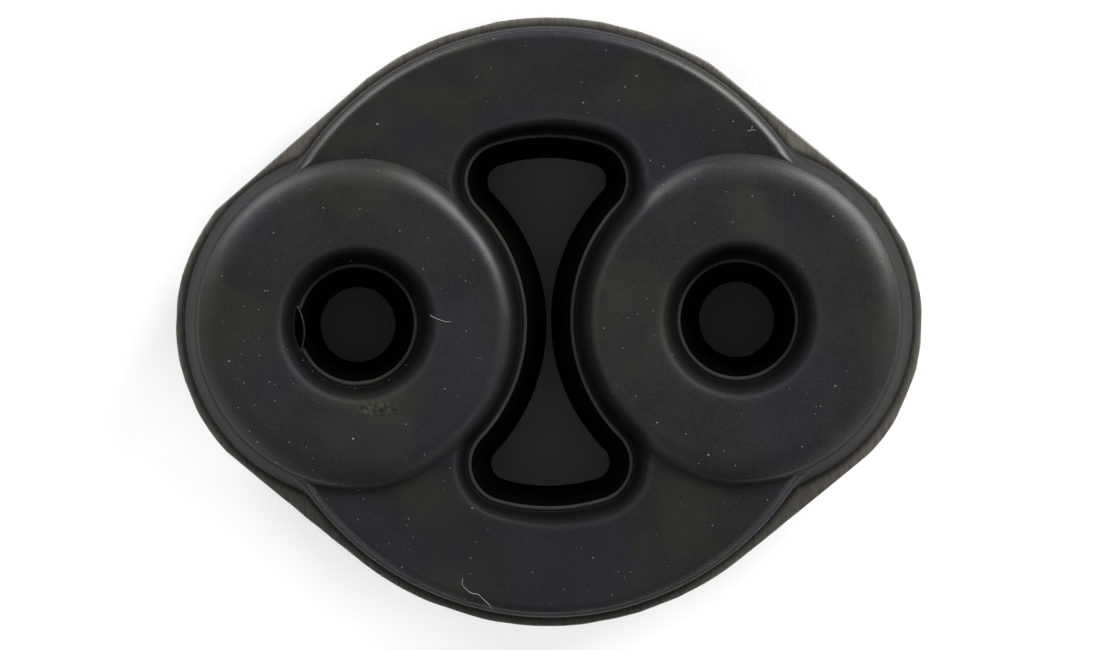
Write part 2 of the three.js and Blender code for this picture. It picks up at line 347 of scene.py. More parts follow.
def flash_ring(bm, form, z):
    """The web's outline: arcs about the body and both bosses, joined by straight tangents."""
    bore = form.bore_pitch / 2
    body = form.body_radius + form.body_draft + form.flash_margin
    boss = form.boss_radius + form.boss_draft + form.flash_margin
    tangent = math.acos((body - boss) / bore)
    touch = Vector((math.cos(tangent), math.sin(tangent)))
    first = tip = bm.verts.new((bore + boss, 0, z))
    for side in (1, -1):
        tip = sweep(bm, tip, (side * bore, 0), tangent, WEB_BOSS_STEPS)
        tip = run(bm, tip, side * body * touch, WEB_STRAIGHT_STEPS)
        tip = sweep(bm, tip, (0, 0), math.pi - 2 * tangent, WEB_BODY_STEPS)
        far = Vector((-side * (bore + boss * touch.x), side * boss * touch.y))
        tip = run(bm, tip, far, WEB_STRAIGHT_STEPS)
        tip = sweep(bm, tip, (-side * bore, 0), tangent, WEB_BOSS_STEPS)
    close(bm, first, tip)


# Solids


def new_object(bm, name):
    """Turns a finished bmesh into an object at the origin, with its faces pointing outwards."""
    bmesh.ops.recalc_face_normals(bm, faces=bm.faces)
    mesh = bpy.data.meshes.new(name)
    bm.to_mesh(mesh)
    bm.free()
    made = bpy.data.objects.new(name, mesh)
    bpy.context.scene.collection.objects.link(made)
    return made


def places(draw):
    """Where the points of a ring lie, in order. The ring is drawn in a bmesh of its own, which is quick."""
    bm = bmesh.new()
    draw(bm)
    found = [point.co.copy() for point in bm.verts]
    bm.free()
    return found


def loft(name, rings_at):
    """A closed solid through a stack of rings. rings_at is a list of functions that each draw one ring."""
    bm = bmesh.new()
    rings_at[0](bm)
    ring = bm.edges[:]
    bmesh.ops.edgeloop_fill(bm, edges=ring)
    for draw in rings_at[1:]:
        raised = bmesh.ops.extrude_edge_only(bm, edges=ring)["geom"]
        ring = [item for item in raised if isinstance(item, bmesh.types.BMEdge)]
        points = [item for item in raised if isinstance(item, bmesh.types.BMVert)]
        for point, place in zip(points, places(draw)):
            point.co = place
    bmesh.ops.edgeloop_fill(bm, edges=ring)
    return new_object(bm, name)


def turned(name, profile, x, steps):
    """A closed solid of revolution: a profile of (radius, height) from axis to axis, turned about x."""
    bm = bmesh.new()
    points = [bm.verts.new((x + radius, 0, z)) for radius, z in profile]
    edges = [bm.edges.new(pair) for pair in zip(points, points[1:])]
    bmesh.ops.spin(
        bm, geom=points + edges, cent=(x, 0, 0), axis=UP, dvec=(0, 0, 0), angle=FULL_TURN, steps=steps, use_merge=True
    )
    bmesh.ops.remove_doubles(bm, verts=bm.verts, dist=1e-7)
    return new_object(bm, name)


def settle(made):
    """Replaces an object's mesh with the result of its modifiers."""
    evaluated = made.evaluated_get(bpy.context.evaluated_depsgraph_get())
    mesh = bpy.data.meshes.new_from_object(evaluated)
    made.modifiers.clear()
    made.data, old = mesh, made.data
    bpy.data.meshes.remove(old)


def combine(made, operation, tool):
    """Joins a tool to an object, or cuts the tool out of it, and uses the tool up."""
    boolean = made.modifiers.new(operation, "BOOLEAN")
    boolean.operation = operation
    boolean.solver = "EXACT"
    boolean.object = tool
    settle(made)
    bpy.data.objects.remove(tool)


def eased(value, low, high):
    """Zero at one end of a range and one at the other, with a gentle start and finish."""
    part = min(1, max(0, (value - low) / (high - low)))
    return part * part * (3 - 2 * part)


def rounding(width, height, steps, tightness=2.0):
    """Steps of a rounding, steep at first and flat at its end, as (across, up).

    A tightness of 2 is a quarter ellipse. A higher one falls gently for most of the width, then turns a tight corner.
    """
    bend = 2 / tightness
    turns = [math.pi / 2 * step / steps for step in range(steps + 1)]
    return [(width * (1 - max(0, math.cos(turn)) ** bend), height * math.sin(turn) ** bend) for turn in turns]


def hole_section(form, face, funnel):
    """Half the section that bores and slot share, from the parting plane up: (offset from the mouth, height)."""
    ledge_z = form.crest - form.boss_rise - form.ledge_depth
    rim_top = form.neck_rim_height / 2
    neck = -form.taper
    wall_foot = neck + form.neck_rim
    section = [(neck, rim_top * 0.6), (neck + 0.3 * form.neck_rim, rim_top), (wall_foot, rim_top)]
    for step in range(1, WALL_STEPS):
        part = step / WALL_STEPS
        section.append((wall_foot + (form.taper - form.neck_rim) * part, rim_top + (ledge_z - rim_top) * part))
    nose = 0.25 * form.ledge
    section.append((-0.25 * nose, ledge_z - nose))
    section.append((0.3 * nose, ledge_z - 0.25 * nose))
    section.append((nose, ledge_z))
    section.append((0.6 * form.ledge, ledge_z - 0.25 * form.ledge_fall))
    floor = ledge_z - form.ledge_fall
    turn_down = rounding(funnel, face - floor, FUNNEL_STEPS, form.tightness)
    section += [(form.ledge + across, floor + up) for across, up in turn_down]
    section.append((form.ledge + funnel, form.crest + CUT_PAST))
    return section


def both_halves(section):
    """A section from the parting plane up, mirrored below it, lowest first."""
    return [(offset, -z) for offset, z in reversed(section)] + section


def body_block(form):
    """The walls of body and bosses between the two faces of the body."""
    face = form.crest - form.boss_rise
    straight = face - form.body_shoulder
    shoulder = rounding(form.body_shoulder, form.body_shoulder, SHOULDER_STEPS)
    levels = [(0, part / 3 * straight) for part in range(3)]
    levels += [(across, straight + up) for across, up in shoulder]
    draw = []
    for inset, z in [(inset, -z) for inset, z in reversed(levels[1:])] + levels:
        body = form.body_radius - inset + form.body_draft * (1 - min(1, abs(z) / straight))
        boss = form.boss_radius + form.boss_draft * (1 - abs(z) / face)
        draw.append(lambda bm, body=body, boss=boss, z=z: hanger_ring(bm, form, body, boss, z))
    return loft("moulding", draw)


def boss(form, x):
    """One boss through the full thickness: its crest rolls over to the body's face, and by the slot to the ledge."""
    bore = Vector((x, 0, 0))
    overlap = 0.02 * MM
    rise = form.boss_rise + SUNK
    edge = form.boss_radius - overlap
    roll = [(edge - across, form.crest - rise + up) for across, up in rounding(form.boss_roll, rise, ROLL_STEPS)]
    rear = [(radius, -z) for radius, z in reversed(roll)]
    made = turned("boss", [(0, -form.crest), *rear, *roll, (0, form.crest)], x, TURNED_BOSS_STEPS)
    deep_edge = form.slot_side - form.ledge
    deep_rise = form.boss_rise + form.ledge_depth + form.ledge_fall
    for point in made.data.vertices:
        arm = Vector((point.co.x - x, point.co.y, 0))
        if arm.length < edge - form.boss_roll - overlap:
            continue
        by_slot = eased(math.degrees(arm.angle(-bore)), BESIDE_SLOT_ENDS, BESIDE_SLOT)
        up = min(1, max(0, (abs(point.co.z) - form.crest + rise) / rise))
        deep_radius = deep_edge - form.slot_funnel_boss * (1 - math.sqrt(1 - up**2))
        deep_z = form.crest - deep_rise * (1 - up)
        radius = arm.length + by_slot * (deep_radius - arm.length)
        z = abs(point.co.z) + by_slot * (deep_z - abs(point.co.z))
        point.co = bore + arm.normalized() * radius + UP * math.copysign(z, point.co.z)
    return made


def slot_tool(form):
    """The cutting tool for the slot, with its funnel ending at the body's face."""
    body_face = form.crest - form.boss_rise
    section = both_halves(hole_section(form, body_face, form.slot_funnel_body))
    return loft("slot_tool", [lambda bm, at=at: slot_ring(bm, form, *at) for at in section])


def bore_tool(form, x):
    """The cutting tool for one bore."""
    section = both_halves(hole_section(form, form.crest, form.bore_funnel))
    outline = [(form.bore_mouth + offset, z) for offset, z in section]
    return turned("bore_tool", [(0, outline[0][1]), *outline, (0, outline[-1][1])], x, TURNED_BORE_STEPS)


def spill(form, bm):
    """Lets the web spill out round the lower right boss, and lets the knife waver along its edge."""
    for point in bm.verts:
        outwards = point.co.normalized()
        off = math.degrees(math.atan2(point.co.y, point.co.x)) - SPILL_AT
        waver = 0.5 + 0.5 * noise.noise(point.co * FINE_WAVES)
        nick = max(0, noise.noise(point.co * NICK_WAVES + Vector((3, 1, 0))))
        point.co += outwards * form.flash_spill * math.exp(-((off / SPILL_SPREAD) ** 2))
        point.co -= outwards * form.trim_depth * (WAVER * waver + NICKS * nick)


def trim(bm):
    """Cuts the web back along straight knife cuts."""
    for azimuth, reach in KNIFE_CUTS:
        angle = math.radians(azimuth)
        towards = Vector((math.cos(angle), math.sin(angle), 0))
        everything = bm.verts[:] + bm.edges[:] + bm.faces[:]
        bmesh.ops.bisect_plane(
            bm, geom=everything, dist=1e-7, plane_co=towards * reach * MM, plane_no=towards, clear_outer=True
        )


def flash_web(form):
    """The thin web of flash at the parting plane, trimmed by hand."""
    bm = bmesh.new()
    flash_ring(bm, form, -form.flash_height / 2)
    spill(form, bm)
    bmesh.ops.edgeloop_fill(bm, edges=bm.edges)
    trim(bm)
    raised = bmesh.ops.extrude_face_region(bm, geom=bm.faces[:])["geom"]
    top = [item for item in raised if isinstance(item, bmesh.types.BMVert)]
    bmesh.ops.translate(bm, verts=top, vec=UP * form.flash_height)
    rims = [edge for edge in bm.edges if abs(edge.verts[0].co.z - edge.verts[1].co.z) < 1e-6]
    bmesh.ops.bevel(
        bm, geom=rims, offset=0.22 * MM, offset_type="OFFSET", affect="EDGES", segments=3, profile=0.5, material=-1
    )
    return new_object(bm, "flash_web")


def tear_sector(form, wear):
    """The piece of ledge that the torn lip has left, as a cutting tool."""
    bore = Vector((-form.bore_pitch / 2 - form.bore_drift, 0, 0))
    ledge_z = form.crest - form.boss_rise - form.ledge_depth
    bm = bmesh.new()
    inner = form.bore_mouth - 0.6 * MM
    outer = form.bore_mouth + form.ledge
    corners = [(inner, -1.3), (outer, -1.3), (outer + 0.1 * MM, 0.05), (inner, 0.4)]
    points = [bm.verts.new(bore + Vector((radius, 0, ledge_z + z * MM))) for radius, z in corners]
    start = bm.faces.new(points)
    inset = math.radians(1.5)
    bmesh.ops.rotate(bm, verts=points, cent=bore, matrix=Matrix.Rotation(wear.tear_from + inset, 3, "Z"))
    angle = wear.tear_to - wear.tear_from - 2 * inset
    bmesh.ops.spin(bm, geom=[start], cent=bore, axis=UP, dvec=(0, 0, 0), angle=angle, steps=24)
    return new_object(bm, "tear_sector")


def nearest_mouth(form, place):
    """How far a place lies outside the nearest mouth, seen from above, and how far the painted shade reaches there.

    The painted shade lies wider to the right of a hole than to its left.
    """
    bore = Vector((form.bore_pitch / 2, 0))
    across = Vector((abs(place.x), abs(place.y)))
    left = Vector((place.x + form.bore_pitch / 2 + form.bore_drift, place.y))
    off_centre = left if place.x < 0 else Vector((place.x, place.y)) - bore
    off_bore = off_centre.length - form.bore_mouth
    corner = crossing(form, form.slot_end - form.slot_corner, form.slot_side + form.slot_corner)
    off_corner = across - corner
    if (bore - corner).cross(off_corner) > 0 and off_corner.cross(corner) > 0:
        off_slot = off_corner.length - form.slot_corner
    else:
        off_slot = max(form.slot_side - (across - bore).length, across.length - form.slot_end)
    if off_bore < off_slot:
        azimuth = math.atan2(off_centre.y, off_centre.x)
        return off_bore, (BORE_SHADE_REACH + BORE_SHADE_SWING * math.cos(azimuth - SHADE_WIDEST_TOWARDS)) * MM
    widest = form.slot_funnel_boss if (across - bore).length < form.boss_radius else form.slot_funnel_body
    return off_slot, min(widest, (SLOT_SHADE_REACH + SLOT_SHADE_SWING * math.tanh(place.x / SHADE_SWING_TURNS)) * MM)


def shading(form, place):
    """How black, how matt and how pale a place on the moulding is.

    Painted shade makes the walls inside the holes black and darkens the rubber round them and the outer walls, and
    painted light pales the ledges.
    """
    outside, shade_reach = nearest_mouth(form, place)
    face = form.crest - form.boss_rise
    past = outside - form.ledge
    if outside < 0.1 * MM or past < 0.12 * MM and abs(place.z) < face - form.ledge_depth - 0.06 * MM:
        return IN_HOLE
    if past < -0.12 * MM:
        return ON_LEDGE
    bore = Vector((form.bore_pitch / 2, 0))
    across = Vector((abs(place.x), abs(place.y)))
    off_body = across.length - form.body_radius
    off_boss = (across - bore).length - form.boss_radius
    by_boss = off_boss > -0.05 * MM and off_body > 0.1 * MM and abs(place.z) < face - 0.05 * MM
    if by_boss or abs(place.z) < face - 1.01 * form.body_shoulder:
        on_web = min(off_body - form.body_draft, off_boss - form.boss_draft) > -0.1 * MM
        return ON_WEB if on_web and abs(place.z) < 0.6 * form.flash_height else ON_OUTER_WALL
    return MOUTH_SHADE * (1 - eased(past, 0.12 * shade_reach, shade_reach)), 1 - eased(past, 0.3 * shade_reach, shade_reach), 0


def stray(form, bm):
    """Lets the moulding wander a little from its true outline, as rubber does."""
    for point in bm.verts:
        broad = noise.noise_vector(Vector((point.co.x * BROAD_WAVES, point.co.y * BROAD_WAVES, 0.3)))
        fine = noise.noise_vector(Vector((point.co.x * FINE_WAVES, point.co.y * FINE_WAVES, 7.3)))
        shift = form.wobble * (0.7 * broad + 0.3 * fine)
        point.co.x += shift.x
        point.co.y += shift.y


def moulding(form, wear):
    """The whole moulding: the body with its slot and its web, joined to the bosses and bored."""
    bore = form.bore_pitch / 2
    made = body_block(form)
    combine(made, "UNION", flash_web(form))
    combine(made, "DIFFERENCE", slot_tool(form))
    for x in (-bore, bore):
        combine(made, "UNION", boss(form, x))
    for x in (-bore - form.bore_drift, bore):
        combine(made, "DIFFERENCE", bore_tool(form, x))
    combine(made, "DIFFERENCE", tear_sector(form, wear))
    bm = bmesh.new()
    bm.from_mesh(made.data)
    bmesh.ops.remove_doubles(bm, verts=bm.verts, dist=2e-6)
    shade, matt, lip = [bm.verts.layers.float.new(name) for name in (SHADE, MATT, LIP)]
    for point in bm.verts:
        point[shade], point[matt], point[lip] = shading(form, point.co)
    stray(form, bm)
    bmesh.ops.translate(bm, verts=bm.verts, vec=UP * form.crest)
    bm.to_mesh(made.data)
    bm.free()
    return made


def torn_lip(form, wear):
    """A strip of the bore's lip that has come away and bows into the mouth."""
    bore = Vector((-form.bore_pitch / 2 - form.bore_drift, 0, 0))
    middle = (wear.tear_from + wear.tear_to) / 2
    spread = (wear.tear_to - wear.tear_from) / 2
    reach = form.bore_mouth + form.ledge + 0.1 * MM
    half = reach * math.sin(spread)
    chord = reach * math.cos(spread)
    bow = chord - (form.bore_mouth - wear.tear_bow)
    radius = (half**2 + bow**2) / (2 * bow)
    angle = 2 * math.asin(half / radius)
    out = Vector((math.cos(middle), math.sin(middle), 0))
    centre = bore + out * (form.bore_mouth - wear.tear_bow + radius)
    ledge_z = 2 * form.crest - form.boss_rise - form.ledge_depth
    bm = bmesh.new()
    half_thick = wear.tear_thickness / 2
    corners = [(-half_thick, -0.55), (half_thick, -0.55), (0.9 * half_thick, 0.14), (-0.9 * half_thick, 0.14)]
    points = [bm.verts.new(centre - out * (radius + r) + UP * (ledge_z + z * MM)) for r, z in corners]
    start = bm.faces.new(points)
    bmesh.ops.rotate(bm, verts=points, cent=centre, matrix=Matrix.Rotation(-angle / 2, 3, "Z"))
    bmesh.ops.spin(bm, geom=[start], cent=centre, axis=UP, dvec=(0, 0, 0), angle=angle, steps=40)
    for point in bm.verts:
        point.co += 0.03 * MM * noise.noise_vector(point.co * 1500)
    return new_object(bm, "torn_lip")


def on_surface(surface, x, y, lift):
    """The place above a point of the plan where something of a given thickness lies on the moulding."""
    hit, slope, _, _ = surface.ray_cast(Vector((x * MM, y * MM, 1)), -UP)
    return hit + slope * lift


def fibres(surface, wear):
    """Lint fibres that lie on the rubber, each a round thread along a smooth line."""
    threads = bpy.data.curves.new("fibres", "CURVE")
    threads.dimensions = "3D"
    threads.bevel_depth = wear.fibre_radius
    threads.bevel_resolution = 2
    threads.use_fill_caps = True
    for route in FIBRES:
        spline = threads.splines.new("NURBS")
        spline.points.add(len(route) - 1)
        for point, (x, y) in zip(spline.points, route):
            point.co = (*on_surface(surface, x, y, 0.7 * wear.fibre_radius), 1)
            point.radius = 0.9 + 0.5 * noise.noise(Vector((x, y, 0)))
        spline.use_endpoint_u = True
        spline.order_u = 3
        spline.resolution_u = 4
    made = bpy.data.objects.new("fibres", threads)
    mesh = bpy.data.meshes.new_from_object(made)
    bpy.data.objects.remove(made)
    made = bpy.data.objects.new("fibres", mesh)
    bpy.context.scene.collection.objects.link(made)
    return made


def grains(surface, wear):
    """The largest grains of dust, each a small uneven lump that lies on the rubber."""
    bm = bmesh.new()
    for x, y, size in GRAINS:
        radius = size * wear.grain_radius
        lump = bmesh.ops.create_icosphere(bm, subdivisions=2, radius=radius)["verts"]
        bmesh.ops.scale(bm, verts=lump, vec=(1, 0.75, 0.5))
        for point in lump:
            point.co *= 1 + 0.3 * noise.noise(point.co / radius + Vector((x, y, 0)))
        bmesh.ops.rotate(bm, verts=lump, matrix=Matrix.Rotation(x + y, 3, "Z"))
        bmesh.ops.translate(bm, verts=lump, vec=on_surface(surface, x, y, 0.25 * radius))
    return new_object(bm, "grains")


def smooth(made):
    """Shades an object smooth apart from its sharp edges, with its flats kept flat."""
    made.data.shade_smooth()
    made.data.set_sharp_from_angle(angle=math.radians(32))
    weighted = made.modifiers.new("Flats", "WEIGHTED_NORMAL")
    weighted.keep_sharp = True
    weighted.mode = "FACE_AREA"
    weighted.weight = 100


# Stage


def softbox(name, azimuth, elevation, distance, size, power):
    """A large soft light that faces the object."""
    lamp = bpy.data.lights.new(name, "AREA")
    lamp.shape = "RECTANGLE"
    lamp.size, lamp.size_y = size
    lamp.energy = power
    made = bpy.data.objects.new(name, lamp)
    a, e = math.radians(azimuth), math.radians(elevation)
    towards = Vector((math.cos(a) * math.cos(e), math.sin(a) * math.cos(e), math.sin(e)))
    made.location = towards * distance
    made.rotation_euler = towards.to_track_quat("Z", "Y").to_euler()
    made.visible_camera = False
    bpy.context.scene.collection.objects.link(made)
    return made


def room_light(strength, backdrop):
    """Dim even light from all round, that looks pale where a view goes past the floor."""
    world = bpy.data.worlds.new("room")
    world.use_nodes = True
    tree = world.node_tree
    background = tree.nodes["Background"]
    background.inputs["Color"].default_value = (1, 1, 1, 1)
    seen = ramp(tree, node(tree, "ShaderNodeLightPath").outputs["Is Camera Ray"], 0, 1, strength, backdrop)
    tree.links.new(seen, background.inputs["Strength"])
    return world


# Materials


def node(tree, kind, values=(), **settings):
    """Adds a shader node with some settings and some of its inputs set."""
    made = tree.nodes.new(kind)
    for key, value in settings.items():
        setattr(made, key, value)
    for key, value in dict(values).items():
        made.inputs[key].default_value = value
    return made


def feed(tree, socket, value):
    """Links an input to another node's output, or sets it to a plain value."""
    if isinstance(value, bpy.types.NodeSocket):
        tree.links.new(value, socket)
    else:
        socket.default_value = value


def mix_colour(tree, factor, first, second):
    """Mixes two colours, each a socket or a plain value, and returns the result's socket."""
    mixed = node(tree, "ShaderNodeMix", data_type="RGBA")
    feed(tree, mixed.inputs["Factor"], factor)
    for place, value in ((6, first), (7, second)):
        feed(tree, mixed.inputs[place], value if isinstance(value, bpy.types.NodeSocket) else (*value, 1))
    return mixed.outputs[2]


def maths(tree, operation, first, second=0.0, clamp=False):
    """One step of arithmetic on sockets or plain numbers."""
    made = node(tree, "ShaderNodeMath", operation=operation, use_clamp=clamp)
    feed(tree, made.inputs[0], first)
    feed(tree, made.inputs[1], second)
    return made.outputs[0]


def vector_maths(tree, operation, first, second=(0, 0, 0)):
    """One step of arithmetic on vectors, each a socket or plain numbers."""
    made = node(tree, "ShaderNodeVectorMath", operation=operation)
    feed(tree, made.inputs[0], first)
    feed(tree, made.inputs[1], second)
    return made.outputs["Value" if operation == "LENGTH" else "Vector"]


def axes(tree, vector):
    """The three parts of a vector, as sockets."""
    made = node(tree, "ShaderNodeSeparateXYZ")
    tree.links.new(vector, made.inputs[0])
    return made.outputs


def ramp(tree, value, low, high, to_low=0.0, to_high=1.0):
    """Maps a value smoothly from one range to another."""
    made = node(
        tree, "ShaderNodeMapRange", {"From Min": low, "From Max": high, "To Min": to_low, "To Max": to_high},
        interpolation_type="SMOOTHSTEP",
    )
    tree.links.new(value, made.inputs["Value"])
    return made.outputs["Result"]


def noise_at(tree, place, scale, detail=3.0, roughness=0.5):
    """Noise over the surface at a scale given in waves per metre."""
    made = node(tree, "ShaderNodeTexNoise", {"Scale": scale, "Detail": detail, "Roughness": roughness})
    tree.links.new(place, made.inputs["Vector"])
    return made.outputs["Fac"]


def object_place(tree):
    """The socket of the object's own coordinates."""
    return node(tree, "ShaderNodeTexCoord").outputs["Object"]


def effect(name, outputs):
    """A new node group that reads a place and puts out values."""
    group = bpy.data.node_groups.new(name, "ShaderNodeTree")
    group.interface.new_socket("Place", in_out="INPUT", socket_type="NodeSocketVector")
    for output in outputs:
        group.interface.new_socket(output, in_out="OUTPUT", socket_type="NodeSocketFloat")
    source = group.nodes.new("NodeGroupInput")
    return group, source.outputs["Place"], group.nodes.new("NodeGroupOutput")


def placed(tree, group, place):
    """Puts a node group into a material at a place."""
    made = tree.nodes.new("ShaderNodeGroup")
    made.node_tree = group
    tree.links.new(place, made.inputs["Place"])
    return made.outputs


def off_axis(tree, apart, x, radius):
    """How far a place lies outside an upright cylinder about x, mirrored left to right."""
    across = maths(tree, "ABSOLUTE", maths(tree, "SUBTRACT", maths(tree, "ABSOLUTE", apart["X"]), x))
    along = maths(tree, "ABSOLUTE", apart["Y"])
    squares = maths(tree, "ADD", maths(tree, "POWER", across, 2), maths(tree, "POWER", along, 2))
    return maths(tree, "SUBTRACT", maths(tree, "SQRT", squares), radius)


def specks_group():
    """Scattered specks of dust: few and coarse, many and fine, in drifts."""
    group, place, out = effect("Dust Specks", ["Mask"])
    drift = noise_at(group, place, 55, 2)
    ragged = node(group, "ShaderNodeTexNoise", {"Scale": 3000.0, "Detail": 2.0})
    group.links.new(place, ragged.inputs["Vector"])
    nudge = vector_maths(group, "MULTIPLY", ragged.outputs["Color"], [0.12 * MM] * 3)
    nudged = vector_maths(group, "ADD", place, nudge)
    masks = []
    for scale, size, kept in SPECKS:
        cells = node(group, "ShaderNodeTexVoronoi", {"Scale": scale})
        group.links.new(nudged, cells.inputs["Vector"])
        lot = node(group, "ShaderNodeSeparateColor")
        group.links.new(cells.outputs["Color"], lot.inputs["Color"])
        chance = maths(group, "ADD", lot.outputs[0], ramp(group, drift, 0.35, 0.65, -0.14, 0.12))
        chosen = maths(group, "GREATER_THAN", chance, kept)
        near = ramp(group, cells.outputs["Distance"], size, size * 0.5)
        faint = maths(group, "POWER", lot.outputs[1], 1.7)
        masks.append(maths(group, "MULTIPLY", maths(group, "MULTIPLY", chosen, near), faint))
    both = maths(group, "MAXIMUM", masks[0], masks[1])
    group.links.new(maths(group, "MAXIMUM", both, masks[2]), out.inputs["Mask"])
    return group


def bloom(tree, place, finish):
    """The rubber's black, under olive and bluish blotches and a fine powder of mould bloom."""
    warm = ramp(tree, noise_at(tree, place, 85, 3), 0.45, 0.62)
    cool = ramp(tree, noise_at(tree, place, 60, 2), 0.46, 0.62)
    powder = maths(tree, "MULTIPLY", ramp(tree, noise_at(tree, place, 4600, 3, 0.7), 0.4, 0.62), 0.45)
    base = mix_colour(tree, warm, finish.rubber, finish.warm)
    base = mix_colour(tree, cool, base, finish.cool)
    return mix_colour(tree, powder, base, finish.powder)


def streaky_flash(tree, place, finish):
    """The web's pale colour, with streaks from the knife."""
    turn = node(tree, "ShaderNodeMapping", {"Rotation": (0, 0, math.radians(40)), "Scale": (1, 0.16, 1)})
    tree.links.new(place, turn.inputs["Vector"])
    streaks = noise_at(tree, turn.outputs["Vector"], 3600, 3, 0.6)
    streaked = [0.6 * channel for channel in finish.flash]
    return mix_colour(tree, ramp(tree, streaks, 0.3, 0.6), streaked, finish.flash)


def scuffed(tree, place, form, finish, base):
    """Lays a small scuff over a colour: pale rubbed flecks and black pits, in a patch that is longer than wide."""
    off_scuff = vector_maths(tree, "SUBTRACT", place, [*(at * MM for at in SCUFF_PLACE), 2 * form.crest])
    reach = vector_maths(tree, "LENGTH", vector_maths(tree, "MULTIPLY", off_scuff, (0.4, 1, 1)))
    patch = ramp(tree, reach, SCUFF_REACH * MM, SCUFF_CORE * MM)
    flecks = noise_at(tree, place, 1700, 3, 0.6)
    rubbed = maths(tree, "MULTIPLY", patch, ramp(tree, flecks, 0.5, 0.6))
    pitted = maths(tree, "MULTIPLY", patch, ramp(tree, flecks, 0.47, 0.4))
    base = mix_colour(tree, rubbed, base, [3 * channel for channel in finish.warm])
    return mix_colour(tree, pitted, base, finish.clean)


def rubber_material(form, finish):
    """Matt moulded rubber: bloom, dust and a scuff, black and matt inside the holes, with a paler, streaky web.

    The black in and round the holes, on the outer walls and along the web's foot is painted shade; the paler ledges
    are painted light.
    """
    material = bpy.data.materials.new("moulded_rubber")
    material.use_nodes = True
    tree = material.node_tree
    shader = tree.nodes["Principled BSDF"]
    place = object_place(tree)
    apart = axes(tree, place)
    height = maths(tree, "ABSOLUTE", maths(tree, "SUBTRACT", apart["Z"], form.crest))
    level = maths(tree, "ABSOLUTE", axes(tree, node(tree, "ShaderNodeTexCoord").outputs["Normal"])["Z"])
    shade, matt, lip = [
        node(tree, "ShaderNodeAttribute", attribute_name=name).outputs["Fac"] for name in (SHADE, MATT, LIP)
    ]

    # Painted light: the web is paled fully on its up-facing faces and only a little on its steep sides
    thin = ramp(tree, height, form.flash_height * 0.58, form.flash_height * 0.5)
    web = maths(tree, "MULTIPLY", thin, ramp(tree, level, 0.4, 0.8, 0.15, 1))
    # Painted shade: a dark line on the web along the foot of the outer walls, where shade falls in the crease
    off_body = off_axis(tree, apart, 0, form.body_radius + form.body_draft)
    off_boss = off_axis(tree, apart, form.bore_pitch / 2, form.boss_radius + form.boss_draft)
    foot = ramp(tree, maths(tree, "MINIMUM", off_body, off_boss), 0.9 * MM, 0.05 * MM, 0, 0.8)
    base = mix_colour(tree, web, bloom(tree, place, finish), streaky_flash(tree, place, finish))
    base = mix_colour(tree, maths(tree, "MULTIPLY", foot, web), base, finish.clean)
    # Painted light: the ledges round the mouths are paled towards the web's colour
    base = mix_colour(tree, maths(tree, "MULTIPLY", lip, 0.19), base, finish.flash)
    # Painted shade: the shade attribute blackens the colour and, fed to Metallic over that black, takes all reflection
    # away there
    base = mix_colour(tree, shade, base, finish.clean)
    tree.links.new(shade, shader.inputs["Metallic"])
    base = scuffed(tree, place, form, finish, base)
    specks = placed(tree, specks_group(), place)["Mask"]
    specks = maths(tree, "MULTIPLY", specks, maths(tree, "SUBTRACT", 1, shade))
    base = mix_colour(tree, maths(tree, "MULTIPLY", specks, 0.8), base, finish.dust)
    tree.links.new(base, shader.inputs["Base Color"])

    cloud = noise_at(tree, place, 140, 4)
    rough = ramp(tree, cloud, 0.3, 0.7, finish.roughness - 0.03, finish.roughness + 0.05)
    rough = maths(tree, "ADD", rough, ramp(tree, height, form.crest - form.boss_rise, form.crest, 0, 0.07))
    steep = ramp(tree, level, 0.75, 0.45)
    rough = maths(tree, "ADD", rough, maths(tree, "MAXIMUM", steep, matt), clamp=True)
    tree.links.new(rough, shader.inputs["Roughness"])

    broad = maths(tree, "MULTIPLY", noise_at(tree, place, 180, 2), 0.05)
    grain = maths(tree, "MULTIPLY", noise_at(tree, place, 5200, 3, 0.65), 0.018)
    relief = maths(tree, "ADD", maths(tree, "ADD", broad, grain), maths(tree, "MULTIPLY", specks, 0.05))
    bump = node(tree, "ShaderNodeBump", {"Distance": 1 * MM, "Strength": 1.0})
    tree.links.new(relief, bump.inputs["Height"])
    tree.links.new(bump.outputs["Normal"], shader.inputs["Normal"])
    return material


def plain_material(name, tint, roughness):
    """A matt material whose colour varies a little over its surface."""
    material = bpy.data.materials.new(name)
    material.use_nodes = True
    tree = material.node_tree
    shader = tree.nodes["Principled BSDF"]
    shader.inputs["Roughness"].default_value = roughness
    cloud = ramp(tree, noise_at(tree, object_place(tree), 40, 2), 0.3, 0.7)
    darker = [0.97 * channel for channel in tint]
    tree.links.new(mix_colour(tree, cloud, darker, tint), shader.inputs["Base Color"])
    return material


# Operators


class HANGER_OT_moulding(bpy.types.Operator):
    """Model the moulding and give it its rubber"""

    bl_idname = "hanger.moulding"
    bl_label = "Moulding"

    def execute(self, context):
        scene = context.scene
        made = moulding(scene.hanger_form, scene.hanger_wear)
        if not made.data.polygons:
            raise RuntimeError("the moulding came out empty")
        smooth(made)
        made.data.materials.clear()
        made.data.materials.append(rubber_material(scene.hanger_form, scene.hanger_finish))
        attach(made, BODY)
        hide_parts(NODE)
        return {"FINISHED"}


class HANGER_OT_torn_lip(bpy.types.Operator):
    """Model the strip of lip that has come away from the left bore"""

    bl_idname = "hanger.torn_lip"
    bl_label = "Torn Lip"

    def execute(self, context):
        scene = context.scene
        made = torn_lip(scene.hanger_form, scene.hanger_wear)
        made.data.shade_smooth()
        made.data.materials.append(bpy.data.materials["moulded_rubber"])
        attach(made, BODY)
        return {"FINISHED"}


